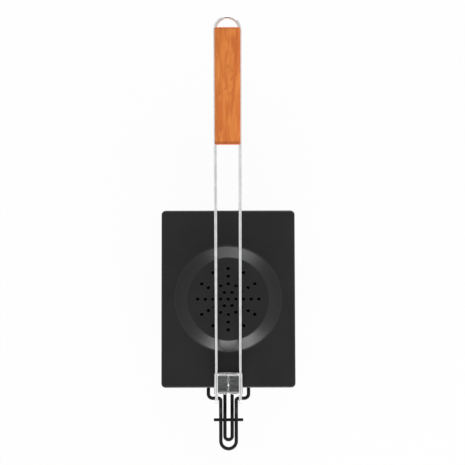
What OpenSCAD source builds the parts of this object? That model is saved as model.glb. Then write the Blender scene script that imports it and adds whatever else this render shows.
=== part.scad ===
// Long-handled popcorn popper: a lidded steel pan with a folding wire handle.
// X runs across the pan, Y from the latch end to the hinge end, Z up.
// The origin is the middle of the pan's underside.

/* [Sheet steel] */
// Thickness of the sheet that the pan and the lid are pressed from
sheet_t = 1; // [0.8:0.1:1.2]

/* [Lid] */
// Width of the lid, across the handle
lid_w = 155; // [145:1:190]
// Length of the lid, along the handle
lid_l = 205; // [190:1:240]
// Corner radius of the lid, seen from above
lid_corner_r = 5; // [4:0.5:8]
// Outside radius of the fold between the lid's top and its skirt
lid_edge_r = 2; // [1.6:0.2:3]
// Depth of the lid's skirt
skirt_h = 10; // [9:0.5:12]
// Gap all round between the skirt and the pan's rim
skirt_gap = 0.8; // [0.8:0.1:1.4]
// Gap between the lid's top sheet and the pan's flange
lid_gap = 0.3; // [0.2:0.1:0.5]

/* [Dome] */
// Diameter of the dome where it leaves the flat of the lid
dome_d = 122.2; // [114:0.1:130]
// Diameter of the dome's flat top
plateau_d = 94.5; // [88:0.5:100]
// Height of the dome over the lid
dome_h = 11; // [8:0.5:14]
// Outside radius of the bend round the dome's flat top
brow_bend_r = 3; // [2:0.5:4]
// Radius of the bend where the dome leaves the flat of the lid
foot_bend_r = 5; // [3:0.5:6]
// Diameter of each vent hole
vent_d = 4; // [2:0.1:5]
// Step in radius from one ring of vents to the next
vent_pitch = 8.75; // [7:0.25:10]
// Number of rings of vents round the middle one
vent_rings = 4; // [2:1:4]

/* [Pan] */
// Height of the pan, to the top of its flange
pan_h = 38; // [35:1:44]
// Width of the flat flange that the lid sits on
flange_w = 5; // [4:0.5:6]
// Depth of the lip that is turned down at the flange's edge
lip_h = 4; // [3:0.5:5]
// Slope of the pan's walls from upright, in degrees
pan_draft = 15; // [10:1:16]
// Corner radius of the pan's walls, under the flange
pan_corner_r = 16; // [15:1:20]
// Outside radius of the bend between the pan's bottom and its walls
pan_bend_r = 5; // [3:0.5:6]

/* [Hinge] */
// Distance of each hinge's middle from the lid's side edge
hinge_edge = 37.5; // [36:0.5:46]
// Width of one hinge, over its three knuckles
hinge_w = 24; // [20:1:30]
// Distance from the skirt's lower edge down to the hinge axis
hinge_drop = 3.3; // [3:0.1:4]
// Diameter of the hinge pins
pin_d = 2.2; // [1.8:0.1:2.6]
// Gap all round between a pin and its knuckles
pin_gap = 0.05; // [0.02:0.01:0.1]
// Thickness of the hinge leaves, and of the knuckles round the pin
leaf_t = 0.8; // [0.7:0.1:1]
// Length of the part of a leaf that lies on the pan's wall
leaf_l = 11; // [9:0.5:14]
// Diameter of the rivets that hold the leaves
rivet_d = 2.8; // [2.2:0.1:3.2]
// Side gap between neighbouring knuckles
knuckle_gap = 0.3; // [0.2:0.1:0.5]

/* [Latch tongues] */
// Diameter of the black wire of both tongues
tongue_wire_d = 4; // [3.2:0.1:4.1]
// Distance of the handle's pivot from the lid's edge
pivot_reach = 12.2; // [11.5:0.1:16]
// Distance of the handle's pivot below the lid's top
pivot_drop = 3; // [2.8:0.1:3.4]
// Distance between the two roots of the lid's tongue
root_span = 46.4; // [45:0.2:56]
// Inside radius of the fold where a root leaves the skirt
root_fold_inner_r = 1; // [0.8:0.1:1.4]
// Bend radius where a root turns into the pivot shoulder
root_bend_r = 5; // [4.5:0.1:5.2]
// Bend radius where the pivot shoulder turns into the tongue
shoulder_bend_r = 2.8; // [2.2:0.1:2.8]
// Width of the lid's tongue between wire centres
lid_tongue_w = 17.9; // [17.5:0.1:18.1]
// Reach of the lid's tongue beyond the pivot
lid_tongue_reach = 58.6; // [54:0.2:62]
// Width of the pan's tongue between wire centres
pan_tongue_w = 8.4; // [7.5:0.1:8.6]
// Reach of the pan's tongue beyond the pivot
pan_tongue_reach = 48.2; // [44:0.2:50]
// Where both tongues start to step in height, beyond the pivot
step_start = 10.5; // [9.5:0.1:11.5]
// Length of that step
step_run = 7; // [6.5:0.1:8]
// Length of the pan tongue's legs down the pan's wall
tongue_leg = 14; // [10:0.5:18]
// Gap between the skirt's lower edge and the pan's tongue under it
under_skirt_gap = 0.4; // [0.3:0.1:0.8]
// Diameter of the stop bar
stop_bar_d = 3.5; // [3:0.1:3.7]
// Length of the stop bar
stop_bar_l = 34.3; // [32:0.1:40]
// Distance of the stop bar beyond the pivot
stop_bar_reach = 26; // [23:0.5:32]

/* [Handle] */
// Diameter of the handle's chromed wire
handle_wire_d = 3.6; // [3.2:0.1:3.6]
// Distance between the centres of the handle's two legs
handle_span = 27.4; // [27.2:0.1:28.2]
// Length of the handle from the pivot to the end of its hanging loop
handle_l = 431.5; // [380:0.5:460]
// Play between a hook and the shoulder that it turns on
hook_play = 0.5; // [0.3:0.05:0.6]
// Angle through which each hook wraps its shoulder, in degrees
hook_wrap = 230; // [200:5:240]
// Gap between the folded handle and the dome that it rests on
rest_gap = 0.3; // [0.3:0.1:0.6]
// Gap between the unfolded handle and the stop bar
stop_gap = 0.2; // [0.2:0.05:0.4]

/* [Grip] */
// Length of the wooden grip
grip_l = 125.5; // [100:0.5:140]
// Width of the grip
grip_w = 28.8; // [27:0.1:29.4]
// Thickness of the grip
grip_t = 15; // [13:0.5:18]
// Radius of the grip's long edges
grip_edge_r = 5; // [3:0.5:6]
// Radius of the grip's end edges
grip_end_r = 1.5; // [1:0.25:2.5]
// How far the hanging loop stands out of the grip
loop_show = 13; // [9:0.5:15]
// Gap between a groove of the grip and the wire in it
groove_gap = 0.05; // [0.03:0.01:0.1]

/* [Locking sleeve] */
// Length of the locking sleeve
sleeve_l = 24.2; // [20:0.2:26]
// Thickness of the sleeve's sheet
sleeve_t = 0.8; // [0.6:0.1:0.9]
// Gap between the sleeve and the wires inside it
sleeve_gap = 0.25; // [0.2:0.05:0.3]
// Distance of the folded sleeve from the pivot
sleeve_at = 7.1; // [5:0.1:8]
// Angle of the flanks by which the face is pressed in between the two wires, in degrees
press_angle = 22; // [18:1:24]
// Radius of the bend where such a flank meets the face
press_r = 1; // [0.6:0.1:1.2]
// Length of the lip that is flared up at the upper end of the face
lip_l = 3.2; // [2.4:0.2:4]
// Rise of that lip
lip_rise = 0.8; // [0.4:0.1:1]
// Length of the lip at the lower end of the face
rim_l = 2.8; // [1.2:0.2:3.2]
// Rise of that lip
rim_rise = 0.5; // [0.2:0.1:0.6]
// Width of the seam in the sleeve's face
seam_w = 0.35; // [0.2:0.05:0.6]
// Width of the notch at the seam's lower end
notch_w = 2.8; // [1.5:0.1:4]
// Length of that notch
notch_l = 5; // [3:0.5:7]
// Place of the tack weld along the seam, as a share of the sleeve's length
tack_at = 0.46; // [0.3:0.02:0.6]
// Diameter of the tack weld
tack_d = 1.8; // [1.4:0.1:2.4]
// How far the tack weld stands out of the face
tack_h = 0.3; // [0.2:0.05:0.5]

/* [Hidden] */
$fn = 64;

steel_black = "#2b2b2d";
wire_black = "#1e1e20";
chrome = "#c9ccd0";
sheet_grey = "#8f9296";
wood = "#d9823f";

// Steps in each bend of a pressed sheet
bend_steps = 5;
// How far a cut runs past the face that it opens
cut_past = 1;
// Wires swell by this much in a bend, and each straight laps into its bends by this length
bend_swell = 0.04;
bend_lap = 0.1;

pan_rim_half_w = lid_w / 2 - sheet_t - skirt_gap;
pan_rim_half_l = lid_l / 2 - sheet_t - skirt_gap;
pan_rim_r = lid_corner_r - sheet_t - skirt_gap;
lid_top = pan_h + lid_gap + sheet_t;
skirt_low = lid_top - skirt_h;

// Half spans between the corner centres of the pan's walls
pan_cx = pan_rim_half_w - flange_w - pan_corner_r;
pan_cy = pan_rim_half_l - flange_w - pan_corner_r;
// Width of the flange that is drawn with the wall
stub_w = 2;

hinge_x = lid_w / 2 - hinge_edge;
knuckle_r = pin_d / 2 + pin_gap + leaf_t;
hinge_y = lid_l / 2 - knuckle_r;
hinge_z = skirt_low - hinge_drop;
finger_w = (hinge_w - 2 * knuckle_gap) / 3;
rivet_head_d = 1.8 * rivet_d;
rivet_head_h = 0.3 * rivet_d;
rivet_gap = 0.02;

tongue_r = tongue_wire_d / 2;
handle_r = handle_wire_d / 2;
pivot = [0, -lid_l / 2 - pivot_reach, lid_top - pivot_drop];
hook_r = tongue_r + hook_play + handle_r;
root_leg_y = pivot_reach - tongue_r;
root_fold_r = tongue_r + root_fold_inner_r;
step_bend_r = 6;
// Height of the pan's tongue below the pivot, and of its roots below the skirt
pan_tongue_z = -hook_r - handle_r - stop_gap + tongue_r;
pan_root_z = skirt_low - under_skirt_gap - tongue_r - pivot[2];
stop_bar_z = pan_tongue_z - tongue_r - stop_bar_d / 2;

// The folded handle leans back until its wires clear the edge of the dome's flat top
dome_edge_y = sqrt(pow(plateau_d / 2, 2) - pow(handle_span / 2 - handle_r, 2));
dome_edge = [-pivot[1] - dome_edge_y, lid_top + dome_h - pivot[2]];
handle_tilt = atan2(dome_edge[1], dome_edge[0]) - asin((hook_r - handle_r - rest_gap) / norm(dome_edge));
arch_r = handle_span / 2;
arch_at = handle_l - handle_r - arch_r;
grip_at = handle_l - loop_show - grip_l;

sleeve_r = handle_r + sleeve_gap;
sleeve_out = sleeve_r + sleeve_t;
// Bend radius of the sleeve round each wire, with a short flat between two bends
flat_l = 0.05;
tube_r = sleeve_out - flat_l;
// Straight part of each flank between its two bends
flank_flat_l = 0.2;
flank_l = flank_flat_l + (tube_r + press_r) * tan(press_angle / 2);
face_z = sleeve_out - flank_l * sin(press_angle);
face_half_w = arch_r - tube_r * tan(press_angle / 2) - flank_l * cos(press_angle);
// How far a lip laps into the sheet beside it
side_lap = 0.4;

function unit(v) = v / norm(v);
function left(v) = [-v[1], v[0]];
function turned(v, a) = [v[0] * cos(a) - v[1] * sin(a), v[0] * sin(a) + v[1] * cos(a)];
function flipped(p) = [for (i = [len(p) - 1 : -1 : 0]) p[i]];
function mirrored(p) = [for (q = p) [-q[0], q[1], q[2]]];
function heading(p, i) = unit(p[i + 1] - p[i]);

// One side of a bent sheet: the path p with bends of radius r, moved t to its left
function sheet_side(p, r, t) = [
  for (i = [0 : len(p) - 1]) each
    i == 0 ? [p[0] + t * left(heading(p, 0))] :
    i == len(p) - 1 ? [p[i] + t * left(heading(p, i - 1))] :
    let (
      into = heading(p, i - 1),
      out = heading(p, i),
      a = atan2(cross(into, out), into * out),
      corner = p[i] + t * (left(into) + left(out)) / (1 + into * out),
      bend_r = r[i - 1] - t * sign(a),
      start = corner - into * bend_r * tan(abs(a) / 2),
      centre = start + sign(a) * left(into) * bend_r
    )
    [for (k = [0 : bend_steps]) centre + turned(start - centre, a * k / bend_steps)]
];

// Outline of a bent sheet, t thick to the left of its path
function sheet_outline(p, r, t) = concat(sheet_side(p, r, 0), flipped(sheet_side(p, r, t)));

// Sweeps a profile round a rectangle: its x is measured out from the corner centres at (cx, cy)
module swept_round(cx, cy) {
  for (i = [0 : 3])
    rotate([0, 0, 90 * i]) translate(i % 2 == 0 ? [cx, cy, 0] : [cy, cx, 0])
      rotate_extrude(angle = 90) children();
  for (i = [0, 180]) {
    if (cy > 0) rotate([0, 0, i]) translate([cx, cy, 0]) rotate([90, 0, 0]) linear_extrude(2 * cy) children();
    rotate([0, 0, i + 90]) translate([cy, cx, 0]) rotate([90, 0, 0]) linear_extrude(2 * cx) children();
  }
}

// Upright block with rounded corners, from z0 to z1
module rounded_block(cx, cy, r, z0, z1) {
  swept_round(cx, cy) translate([0, z0]) square([r, z1 - z0]);
  translate([-cx, -cy, z0]) cube([2 * cx, 2 * cy, z1 - z0]);
}

// Moves its children into the frame with axes ex, ey and ez at a point
module framed(ex, ey, ez, at) {
  multmatrix([
    [ex[0], ey[0], ez[0], at[0]],
    [ex[1], ey[1], ez[1], at[1]],
    [ex[2], ey[2], ez[2], at[2]]
  ]) children();
}

module rod(a, b, d) {
  along = unit(b - a);
  side = unit(cross(abs(along[0]) < 0.9 ? [1, 0, 0] : [0, 1, 0], along));
  framed(side, cross(along, side), along, a) cylinder(d = d, h = norm(b - a));
}

// Round wire through the points p, with a bend of radius r[i - 1] at each inner point i
module bent_wire(p, r, d) {
  last = len(p) - 1;
  turns = [for (i = [0 : last]) i == 0 || i == last ? 0 : acos(heading(p, i - 1) * heading(p, i))];
  setbacks = [for (i = [0 : last]) i == 0 || i == last ? 0 : r[i - 1] * tan(turns[i] / 2)];
  for (i = [0 : last - 1]) {
    along = heading(p, i);
    a = p[i] + along * setbacks[i];
    b = p[i + 1] - along * setbacks[i + 1];
    if (norm(b - a) > bend_swell)
      rod(a - (i == 0 ? 0 : bend_lap) * along, b + (i == last - 1 ? 0 : bend_lap) * along, d);
  }
  for (i = [1 : last - 1]) {
    into = heading(p, i - 1);
    out = heading(p, i);
    centre = p[i] + unit(out - into) * r[i - 1] / cos(turns[i] / 2);
    start = p[i] - into * setbacks[i];
    framed(unit(start - centre), into, unit(cross(into, out)), centre)
      rotate_extrude(angle = turns[i]) translate([r[i - 1], 0]) circle(d = d + bend_swell);
  }
}

// The pan's outer wall line at a height, as a distance from the middle along Y
function wall_y(z) = pan_cy + pan_corner_r - (pan_h - sheet_t - z) * tan(pan_draft);

module pan() {
  under_flange = pan_h - sheet_t;
  wall = [
    [0, 0],
    [pan_corner_r - under_flange * tan(pan_draft), 0],
    [pan_corner_r, under_flange],
    [pan_corner_r + stub_w, under_flange]
  ];
  lip = [[0, pan_h], [pan_rim_r, pan_h], [pan_rim_r, pan_h - lip_h]];
  rim_cx = pan_rim_half_w - pan_rim_r;
  rim_cy = pan_rim_half_l - pan_rim_r;
  color(steel_black) difference() {
    union() {
      swept_round(pan_cx, pan_cy) polygon(sheet_outline(wall, [pan_bend_r, sheet_t], sheet_t));
      translate([-pan_cx, -pan_cy, 0]) cube([2 * pan_cx, 2 * pan_cy, sheet_t]);
      swept_round(rim_cx, rim_cy) polygon(sheet_outline(lip, [1.5 * sheet_t], -sheet_t));
      difference() {
        translate([-rim_cx, -rim_cy, under_flange]) cube([2 * rim_cx, 2 * rim_cy, sheet_t]);
        rounded_block(pan_cx, pan_cy, pan_corner_r + stub_w, under_flange - cut_past, pan_h + cut_past);
      }
    }
    each_rivet() cylinder(d = rivet_d + 2 * rivet_gap, h = 4 * sheet_t, center = true);
  }
}

module lid() {
  fold = [[0, lid_top], [lid_corner_r, lid_top], [lid_corner_r, skirt_low]];
  cx = lid_w / 2 - lid_corner_r;
  cy = lid_l / 2 - lid_corner_r;
  ring_r = dome_d / 2 + foot_bend_r;
  crown = [
    [0, lid_top + dome_h],
    [plateau_d / 2, lid_top + dome_h],
    [dome_d / 2, lid_top],
    [ring_r, lid_top]
  ];
  color(steel_black) difference() {
    union() {
      swept_round(cx, cy) polygon(sheet_outline(fold, [lid_edge_r], -sheet_t));
      difference() {
        translate([-cx, -cy, lid_top - sheet_t]) cube([2 * cx, 2 * cy, sheet_t]);
        translate([0, 0, lid_top - sheet_t - cut_past])
          cylinder(r = ring_r, h = sheet_t + 2 * cut_past, $fn = 128);
      }
      rotate_extrude($fn = 128) polygon(sheet_outline(crown, [brow_bend_r, foot_bend_r], -sheet_t));
      for (x = [-hinge_x, hinge_x]) lid_knuckle(x);
    }
    vents();
    for (x = [-hinge_x, hinge_x]) hinge_bore(x);
  }
}

module vents() {
  through = [sheet_t + 2 * cut_past, lid_top + dome_h - sheet_t - cut_past];
  for (ring = [0 : vent_rings]) {
    count = ring == 0 ? 1 : ring == 1 ? 6 : 12;
    for (k = [0 : count - 1])
      rotate([0, 0, 360 * k / count]) translate([ring * vent_pitch, 0, through[1]])
        cylinder(d = vent_d, h = through[0], $fn = 24);
  }
}

// The middle knuckle of a hinge, rolled from a tab of the lid's skirt
module lid_knuckle(x) {
  translate([x - finger_w / 2, hinge_y, hinge_z]) rotate([0, 90, 0]) cylinder(r = knuckle_r, h = finger_w);
  translate([x - finger_w / 2, lid_l / 2 - sheet_t, hinge_z]) cube([finger_w, sheet_t, hinge_drop]);
}

module hinge_bore(x) {
  translate([x, hinge_y, hinge_z]) rotate([0, 90, 0])
    cylinder(d = pin_d + 2 * pin_gap, h = hinge_w + 2 * cut_past, center = true);
}

// Places its children at each rivet, with +Z out of the pan's wall
module each_rivet() {
  for (x = [-hinge_x, hinge_x], side = [-1, 1]) {
    z = hinge_z - knuckle_r + leaf_t - 0.6 * leaf_l * cos(pan_draft);
    translate([x + side * hinge_w / 4, wall_y(z), z]) rotate([-90 - pan_draft, 0, 0]) children();
  }
}

// Outer knuckles on two fingers of a plate that lies on the pan's far wall
module hinge_leaf(x) {
  top = hinge_z - knuckle_r + leaf_t;
  foot = [wall_y(top) - leaf_l * sin(pan_draft), top - leaf_l * cos(pan_draft)];
  arm = sheet_outline([[hinge_y, top], [wall_y(top), top], foot], [2 * leaf_t], leaf_t);
  plate_top = [wall_y(top) - 0.3 * leaf_l * sin(pan_draft), top - 0.3 * leaf_l * cos(pan_draft)];
  plate = sheet_outline([plate_top, foot], [], leaf_t);
  color(steel_black) difference() {
    union() {
      for (side = [-1, 1])
        translate([x + side * (hinge_w - finger_w) / 2, 0, 0]) {
          translate([-finger_w / 2, 0, 0]) rotate([90, 0, 90]) linear_extrude(finger_w) polygon(arm);
          translate([0, hinge_y, hinge_z]) rotate([0, 90, 0])
            cylinder(r = knuckle_r, h = finger_w, center = true);
        }
      translate([x - hinge_w / 2, 0, 0]) rotate([90, 0, 90]) linear_extrude(hinge_w) polygon(plate);
    }
    hinge_bore(x);
    each_rivet() cylinder(d = rivet_d + 2 * rivet_gap, h = 4 * sheet_t, center = true);
  }
}

module hinge_leaf_left() { hinge_leaf(-hinge_x); }
module hinge_leaf_right() { hinge_leaf(hinge_x); }

module hinge_pin(x) {
  head_l = 0.6;
  color(chrome) translate([x, hinge_y, hinge_z]) rotate([0, 90, 0]) {
    cylinder(d = pin_d, h = hinge_w, center = true);
    for (side = [-1, 1])
      translate([0, 0, side * (hinge_w + head_l) / 2])
        cylinder(d = pin_d + 2 * leaf_t, h = head_l, center = true);
  }
}

module hinge_pin_left() { hinge_pin(-hinge_x); }
module hinge_pin_right() { hinge_pin(hinge_x); }

module hinge_rivets() {
  color(chrome) each_rivet() {
    translate([0, 0, -sheet_t]) cylinder(d = rivet_d, h = sheet_t + leaf_t);
    translate([0, 0, leaf_t]) cylinder(d1 = rivet_head_d, d2 = rivet_d, h = rivet_head_h);
    translate([0, 0, -sheet_t - rivet_head_h / 2]) cylinder(d = rivet_head_d, h = rivet_head_h / 2);
  }
}

// The lid's tongue: roots on the skirt, shoulders that the handle turns on, then the outer loop
module lid_tongue() {
  root_x = root_span / 2;
  tongue_x = lid_tongue_w / 2;
  half = [
    [root_x, root_leg_y, skirt_low - pivot[2]],
    [root_x, root_leg_y, 0],
    [root_x, 0, 0],
    [tongue_x, 0, 0],
    [tongue_x, -step_start, 0],
    [tongue_x, -step_start - step_run, -hook_r],
    [tongue_x, -lid_tongue_reach, -hook_r]
  ];
  bends = [root_fold_r, root_bend_r, shoulder_bend_r, step_bend_r, step_bend_r, tongue_x];
  color(wire_black) translate(pivot)
    bent_wire(concat(half, flipped(mirrored(half))), concat(bends, flipped(bends)), tongue_wire_d);
}

// The pan's tongue: legs down the near wall, then out under the skirt and up inside the lid's tongue
module pan_tongue() {
  x = pan_tongue_w / 2;
  leg_top = -pivot[1] - wall_y(pan_root_z + pivot[2]) - tongue_r / cos(pan_draft);
  half = [
    [x, leg_top + tongue_leg * sin(pan_draft), pan_root_z - tongue_leg * cos(pan_draft)],
    [x, leg_top, pan_root_z],
    [x, -step_start, pan_root_z],
    [x, -step_start - step_run, pan_tongue_z],
    [x, -pan_tongue_reach, pan_tongue_z]
  ];
  bends = [root_bend_r, step_bend_r, step_bend_r, x];
  color(wire_black) translate(pivot)
    bent_wire(concat(half, flipped(mirrored(half))), concat(bends, flipped(bends)), tongue_wire_d);
}

module stop_bar() {
  color(wire_black) translate(pivot + [0, -stop_bar_reach, stop_bar_z]) rotate([0, 90, 0])
    cylinder(d = stop_bar_d, h = stop_bar_l, center = true);
}

// Puts its children in the folded handle's frame: the pivot at the origin and +Y along the handle
module on_handle() { translate(pivot) rotate([handle_tilt, 0, 0]) children(); }

module arch(d) {
  translate([0, arch_at, hook_r]) rotate_extrude(angle = 180) translate([arch_r, 0]) circle(d = d);
}

module legs(from, to, d) {
  for (side = [-1, 1])
    translate([side * arch_r, from, hook_r]) rotate([-90, 0, 0]) cylinder(d = d, h = to - from);
}

module handle_wire() {
  color(chrome) on_handle() {
    legs(-bend_lap, arch_at + bend_lap, handle_wire_d);
    arch(handle_wire_d + bend_swell);
    for (side = [-1, 1])
      framed([0, 0, 1], [0, -1, 0], [1, 0, 0], [side * arch_r, 0, 0])
        rotate_extrude(angle = hook_wrap) translate([hook_r, 0]) circle(d = handle_wire_d + bend_swell);
  }
}

module grip() {
  cx = grip_w / 2 - grip_edge_r;
  cy = grip_t / 2 - grip_edge_r;
  ends = [[0, 0], [grip_edge_r, 0], [grip_edge_r, grip_l], [0, grip_l]];
  side = sheet_side(ends, [grip_end_r, grip_end_r], 0);
  groove_d = handle_wire_d + 2 * groove_gap;
  color(wood) on_handle() difference() {
    translate([0, grip_at, hook_r]) rotate([-90, 0, 0]) {
      swept_round(cx, cy) polygon(side);
      translate([-cx, -cy, 0]) cube([2 * cx, 2 * cy, grip_l]);
    }
    legs(grip_at - cut_past, arch_at + bend_lap, groove_d);
    arch(groove_d + bend_swell);
  }
}

// A lip of the sleeve's face: the side view of its path, drawn over the width of the face
module face_lip(path) {
  half_w = face_half_w + side_lap;
  translate([-half_w, 0, 0]) rotate([90, 0, 90]) linear_extrude(2 * half_w)
    polygon(sheet_outline(path, [2 * sleeve_t], -sleeve_t));
}

module locking_sleeve() {
  half = [
    [seam_w / 2, face_z],
    [face_half_w, face_z],
    [arch_r - tube_r * tan(press_angle / 2), sleeve_out],
    [arch_r + sleeve_out, sleeve_out],
    [arch_r + sleeve_out, -sleeve_out]
  ];
  bends = [press_r, tube_r, tube_r, tube_r];
  band = concat(half, flipped([for (q = half) [-q[0], q[1]]]));
  upper = [[sleeve_l - lip_l - side_lap, face_z], [sleeve_l - lip_l, face_z], [sleeve_l, face_z + lip_rise]];
  lower = [[0, face_z + rim_rise], [rim_l, face_z], [rim_l + side_lap, face_z]];
  notch = [
    [0, notch_l],
    [-notch_w / 2, 0],
    [-notch_w / 2, -cut_past],
    [notch_w / 2, -cut_past],
    [notch_w / 2, 0]
  ];
  above = sleeve_out + lip_rise + cut_past;
  color(sheet_grey) on_handle() translate([0, sleeve_at, hook_r]) {
    difference() {
      union() {
        difference() {
          translate([0, sleeve_l, 0]) rotate([90, 0, 0]) linear_extrude(sleeve_l)
            polygon(sheet_outline(band, concat(bends, flipped(bends)), -sleeve_t));
          for (end = [[-cut_past, rim_l], [sleeve_l - lip_l, sleeve_l + cut_past]])
            translate([-face_half_w, end[0], 0]) cube([2 * face_half_w, end[1] - end[0], above]);
        }
        face_lip(upper);
        face_lip(lower);
      }
      translate([-seam_w / 2, -cut_past, 0]) cube([seam_w, sleeve_l + 2 * cut_past, above]);
      linear_extrude(above) polygon(notch);
    }
    translate([0, tack_at * sleeve_l, face_z - sleeve_t / 2])
      cylinder(d1 = tack_d, d2 = 0.6 * tack_d, h = sleeve_t / 2 + tack_h);
  }
}

pan();
lid();
lid_tongue();
pan_tongue();
stop_bar();
hinge_leaf_left();
hinge_leaf_right();
hinge_pin_left();
hinge_pin_right();
hinge_rivets();
handle_wire();
grip();
locking_sleeve();
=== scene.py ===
"""Long-handled popcorn popper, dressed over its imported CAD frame.

Every piece is modelled in millimetres, in the CAD's own frame, and ends up in metres. X runs across the
pan, Y from the latch end to the hinge end, Z up, and the origin is the middle of the pan's underside.
"""

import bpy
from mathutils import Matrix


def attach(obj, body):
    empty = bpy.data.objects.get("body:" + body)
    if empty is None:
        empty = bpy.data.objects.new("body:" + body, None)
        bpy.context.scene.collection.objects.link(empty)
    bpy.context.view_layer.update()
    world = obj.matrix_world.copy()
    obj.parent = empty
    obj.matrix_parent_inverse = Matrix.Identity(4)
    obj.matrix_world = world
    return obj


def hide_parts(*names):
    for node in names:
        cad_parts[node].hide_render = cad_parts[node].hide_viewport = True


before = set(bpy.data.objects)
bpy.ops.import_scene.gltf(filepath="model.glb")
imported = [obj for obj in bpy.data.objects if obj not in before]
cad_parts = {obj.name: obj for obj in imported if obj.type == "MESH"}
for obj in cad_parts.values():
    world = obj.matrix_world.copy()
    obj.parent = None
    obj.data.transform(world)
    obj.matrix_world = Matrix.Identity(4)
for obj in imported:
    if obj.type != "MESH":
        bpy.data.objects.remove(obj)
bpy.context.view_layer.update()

import logging
import math
from dataclasses import dataclass
from enum import Enum
from typing import Any, Iterable, Sequence

import bmesh
import bpy
from mathutils import Matrix, Vector

LOG = logging.getLogger("popper")
MM = 0.001
X_AXIS, Y_AXIS, Z_AXIS = Vector((1, 0, 0)), Vector((0, 1, 0)), Vector((0, 0, 1))
QUARTER, HALF, FULL = math.pi / 2, math.pi, 2 * math.pi


class Body(Enum):
    """The CAD bodies that pieces ride on."""

    PAN = "pan_body"
    LID = "lid_body"
    HANDLE = "handle_body"
    SLEEVE = "sleeve_body"


class Slot(Enum):
    """Names of the popper's material slots."""

    NONSTICK = "nonstick_steel"
    BLACK_WIRE = "black_wire"
    CHROME = "chrome_wire"
    SLEEVE = "sleeve_steel"
    ZINC = "zinc_steel"
    HARDWOOD = "hardwood"


# Sizes


@dataclass(frozen=True)
class Layout:
    """Sizes in millimetres that more than one sub-assembly needs, as the CAD has them."""

    sheet_t: float = 1.0
    lid_w: float = 155.0
    lid_l: float = 205.0
    lid_top: float = 39.3
    skirt_h: float = 10.0
    pan_h: float = 38.0
    pan_draft: float = math.radians(15)
    wall_corner: tuple[float, float] = (54.7, 79.7)
    wall_corner_r: float = 16.0
    hinge_x: float = 40.0
    hinge_w: float = 24.0
    hinge_y: float = 100.55
    hinge_z: float = 26.0
    knuckle_r: float = 1.95
    knuckle_gap: float = 0.3
    leaf_t: float = 0.8
    leaf_l: float = 11.0
    pivot_reach: float = 12.2
    pivot_drop: float = 3.0
    tongue_wire_d: float = 4.0
    handle_wire_d: float = 3.6
    handle_half: float = 13.7
    hook_r: float = 4.3
    handle_tilt: float = math.radians(9.682586)

    @property
    def skirt_low(self) -> float:
        """Height of the skirt's lower edge."""
        return self.lid_top - self.skirt_h

    @property
    def pivot(self) -> Vector:
        """Middle of the axis that the handle turns on."""
        return Vector((0, -self.lid_l / 2 - self.pivot_reach, self.lid_top - self.pivot_drop))

    @property
    def finger_w(self) -> float:
        """Width of one knuckle of a hinge."""
        return (self.hinge_w - 2 * self.knuckle_gap) / 3

    def wall_y(self, z: float) -> float:
        """Distance of the far wall's outer face from the middle, at height z."""
        under_flange = self.pan_h - self.sheet_t
        return self.wall_corner[1] + self.wall_corner_r - (under_flange - z) * math.tan(self.pan_draft)

    def on_handle(self) -> Matrix:
        """Matrix from the handle's own frame, pivot at the origin and +Y along it, to the frame."""
        return Matrix.Translation(self.pivot) @ Matrix.Rotation(self.handle_tilt, 4, "X")


# Mesh helpers


def facing(centre: Vector, normal: Vector) -> Matrix:
    """Matrix that places a shape of the XY plane at a point, with its Z along a normal."""
    return Matrix.Translation(centre) @ normal.to_track_quat("Z", "Y").to_matrix().to_4x4()


def edges_of(geometry: Iterable[Any]) -> list[bmesh.types.BMEdge]:
    """The edges among the elements that an operator returns."""
    return [item for item in geometry if isinstance(item, bmesh.types.BMEdge)]


def verts_of(geometry: Iterable[Any]) -> list[bmesh.types.BMVert]:
    """The vertices among the elements that an operator returns."""
    return [item for item in geometry if isinstance(item, bmesh.types.BMVert)]


def verts_on(edges: Iterable[bmesh.types.BMEdge]) -> list[bmesh.types.BMVert]:
    """The vertices of some edges, each once and in a steady order."""
    return list(dict.fromkeys(vert for edge in edges for vert in edge.verts))


def ring(bm: bmesh.types.BMesh, centre: Vector, normal: Vector, radius: float,
         sides: int) -> list[bmesh.types.BMEdge]:
    """Draws an open ring of edges.

    Args:
        bm: The mesh that it is drawn in.
        centre: Middle of the ring.
        normal: Direction that the ring faces.
        radius: Radius of the ring.
        sides: Number of its edges.

    Returns:
        The ring's edges.
    """
    made = bmesh.ops.create_circle(bm, cap_ends=False, segments=sides, radius=radius, matrix=facing(centre, normal))
    return list({edge: None for vert in made["verts"] for edge in vert.link_edges})


def pull(bm: bmesh.types.BMesh, edges: Sequence[bmesh.types.BMEdge], along: Vector) -> list[bmesh.types.BMEdge]:
    """Extrudes edges along a vector and returns the new far edges."""
    made = bmesh.ops.extrude_edge_only(bm, edges=edges)["geom"]
    bmesh.ops.translate(bm, verts=verts_of(made), vec=along)
    return [edge for edge in edges_of(made) if set(edge.verts) <= set(verts_of(made))]


def swing(bm: bmesh.types.BMesh, edges: Sequence[bmesh.types.BMEdge], centre: Vector, axis: Vector,
          angle: float, steps: int) -> list[bmesh.types.BMEdge]:
    """Spins edges round an axis.

    Args:
        bm: The mesh that holds the edges.
        edges: Edges to spin.
        centre: A point of the axis.
        axis: Direction of the axis.
        angle: Angle in radians.
        steps: Number of steps in that angle.

    Returns:
        The edges at the far end.
    """
    made = bmesh.ops.spin(bm, geom=[*edges, *verts_on(edges)], cent=centre, axis=axis, dvec=Vector(),
                          angle=angle, steps=steps, use_merge=False, use_duplicate=False)
    return edges_of(made["geom_last"])


def draw_on(bm: bmesh.types.BMesh, vert: bmesh.types.BMVert, along: Vector) -> bmesh.types.BMVert:
    """Draws a line on from a vertex by a vector and returns its end."""
    new = bmesh.ops.extrude_vert_indiv(bm, verts=[vert])["verts"][0]
    bmesh.ops.translate(bm, verts=[new], vec=along)
    return new


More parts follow.
